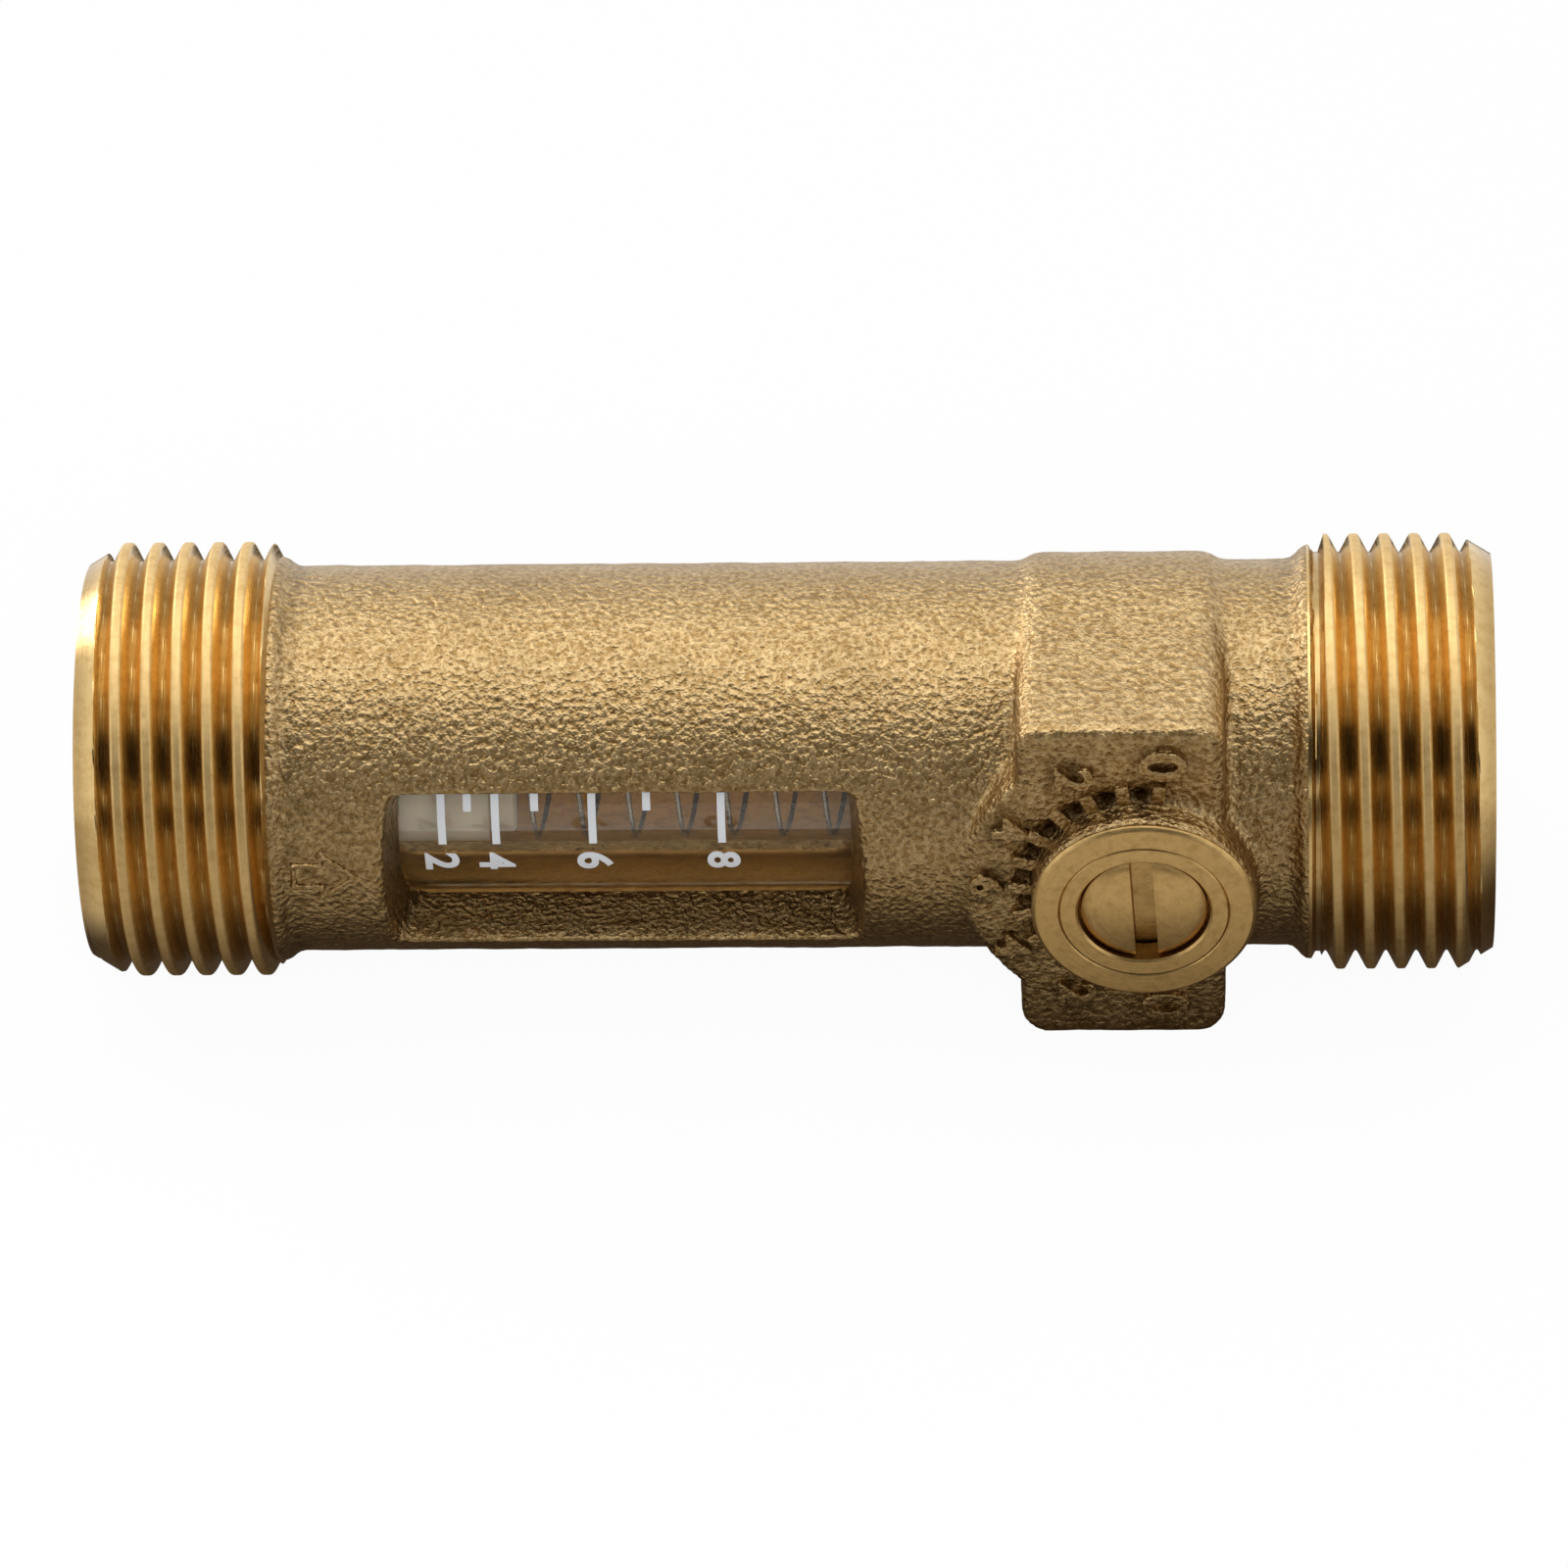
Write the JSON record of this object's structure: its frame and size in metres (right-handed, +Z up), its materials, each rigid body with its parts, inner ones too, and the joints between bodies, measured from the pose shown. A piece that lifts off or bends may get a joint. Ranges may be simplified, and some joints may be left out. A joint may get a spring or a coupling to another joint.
{
  "type": "balancing valve",
  "caption": "In-line brass balancing valve with male-threaded ends, a spring-loaded float read through a sight window, and a slotted ball regulator set against a cast dial.",
  "frame": {"origin": "centre of the inlet end face, on the pipe axis", "axes": "+X runs along the pipe axis from the inlet to the outlet, the way the flow arrow points; the sight window and the regulator face -Y; +Z is up, square to both"},
  "size_m": [0.107, 0.0347, 0.0332],
  "materials": {
    "cast_brass": "sand-cast skin, fine grain, machined threads and boss face",
    "clear_polymer": "clear, polished",
    "seal_rubber": "matt black",
    "turned_brass": "turned, satin",
    "moulded_white": "moulded, satin",
    "spring_steel": "bright drawn",
    "float_polymer": "milky, slightly translucent",
    "bright_ball": "polished",
    "seat_plastic": "white, waxy"
  },
  "bodies": {
    "valve": {"valve_body": "cast_brass", "sight_tube": "clear_polymer", "tube_inlet_o_ring": "seal_rubber", "tube_outlet_o_ring": "seal_rubber", "tube_retaining_ring": "turned_brass", "inlet_cage": "moulded_white", "metering_spindle": "spring_steel", "flow_spring": "spring_steel", "spring_stop": "moulded_white", "thrust_washer": "seat_plastic", "gland_ring": "turned_brass", "inlet_seat": "seat_plastic", "outlet_seat": "seat_plastic", "inlet_seat_o_ring": "seal_rubber", "outlet_seat_o_ring": "seal_rubber", "seat_retainer": "turned_brass", "retainer_o_ring": "seal_rubber"},
    "regulator": {"ball": "bright_ball", "stem": "turned_brass", "stem_o_ring_lower": "seal_rubber", "stem_o_ring_upper": "seal_rubber"},
    "indicator": {"float": "float_polymer"}
  },
  "joints": [
    {"name": "regulator_turn", "type": "hinge", "parent": "valve", "child": "regulator", "pos_m": [0.08055, 0, 0], "axis": [0, -1, 0], "continuous": true},
    {"name": "float_travel", "type": "slide", "parent": "valve", "child": "indicator", "axis": [1, 0, 0], "range_m": [0, 0.026], "stiffness_N_per_m": 25, "springref_m": -0.006, "deforming": ["flow_spring"]}
  ]
}
